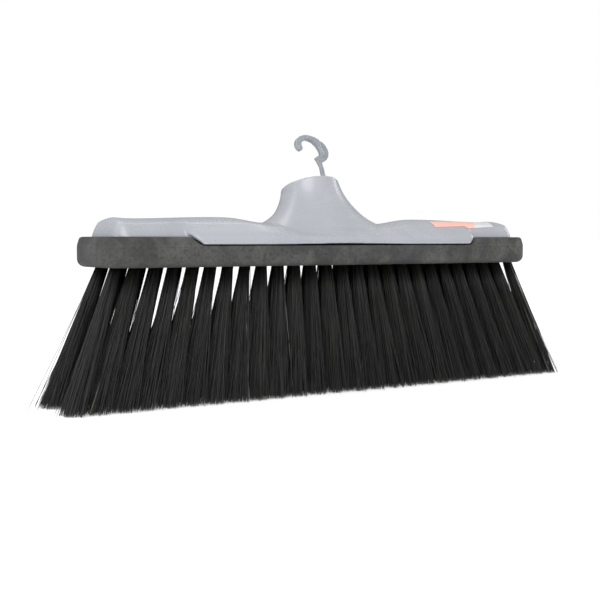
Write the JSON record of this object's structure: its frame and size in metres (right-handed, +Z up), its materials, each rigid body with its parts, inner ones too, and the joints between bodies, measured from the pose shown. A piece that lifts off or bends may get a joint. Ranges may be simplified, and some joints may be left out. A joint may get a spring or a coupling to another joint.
{
  "type": "broom head",
  "caption": "Soft-bristle indoor broom head with a tilted handle socket, soft edge bumper, leaning tufts and a pull-out hang-up plug.",
  "frame": {"origin": "middle of the bristle tips, on the floor the head stands on", "axes": "+X along the head, +Y to the back (the side the handle socket leans to), +Z up"},
  "size_m": [0.3553, 0.0658, 0.1588],
  "materials": {
    "cover_plastic": "satin moulded plastic, pale blue-grey",
    "bumper_rubber": "matt mottled dark grey soft rubber",
    "block_plastic": "matt black moulded plastic",
    "hanger_plastic": "translucent grey moulded plastic",
    "label_print": "printed film, coral with a pale end",
    "anchor_wire": "flat steel wire",
    "bristle": "black split-tip synthetic bristle"
  },
  "bodies": {
    "head": {"cover": "cover_plastic", "bumper": "bumper_rubber", "brush_block": "block_plastic", "label": "label_print", "tuft_anchors": "anchor_wire", "tuft_pair_01": "bristle", "tuft_pair_02": "bristle", "tuft_pair_03": "bristle", "tuft_pair_04": "bristle", "tuft_pair_05": "bristle", "tuft_pair_06": "bristle", "tuft_pair_07": "bristle", "tuft_pair_08": "bristle", "tuft_pair_09": "bristle", "tuft_pair_10": "bristle", "tuft_pair_11": "bristle", "tuft_pair_12": "bristle", "tuft_pair_13": "bristle", "tuft_pair_14": "bristle", "tuft_pair_15": "bristle", "tuft_pair_16": "bristle", "tuft_pair_17": "bristle", "tuft_pair_18": "bristle", "tuft_pair_19": "bristle", "tuft_pair_20": "bristle", "tuft_pair_21": "bristle", "tuft_pair_22": "bristle", "tuft_pair_23": "bristle", "tuft_pair_24": "bristle", "tuft_pair_25": "bristle", "tuft_pair_26": "bristle", "tuft_pair_27": "bristle", "tuft_pair_28": "bristle", "tuft_pair_29": "bristle", "tuft_pair_30": "bristle", "tuft_pair_31": "bristle", "tuft_pair_32": "bristle", "tuft_pair_33": "bristle", "tuft_pair_34": "bristle", "tuft_pair_35": "bristle", "tuft_pair_36": "bristle", "tuft_pair_37": "bristle", "tuft_pair_38": "bristle", "tuft_pair_39": "bristle", "tuft_pair_40": "bristle", "tuft_pair_41": "bristle", "tuft_pair_42": "bristle", "tuft_pair_43": "bristle", "tuft_pair_44": "bristle", "tuft_pair_45": "bristle", "tuft_pair_46": "bristle", "tuft_pair_47": "bristle", "tuft_pair_48": "bristle", "tuft_pair_49": "bristle", "tuft_pair_50": "bristle", "tuft_pair_51": "bristle"},
    "hanger": {"hanger": "hanger_plastic"}
  },
  "joints": [
    {"name": "hanger_pull", "type": "slide", "parent": "head", "child": "hanger", "axis": [0, 0.3502, 0.9367], "range_m": [0, 0.06]}
  ]
}
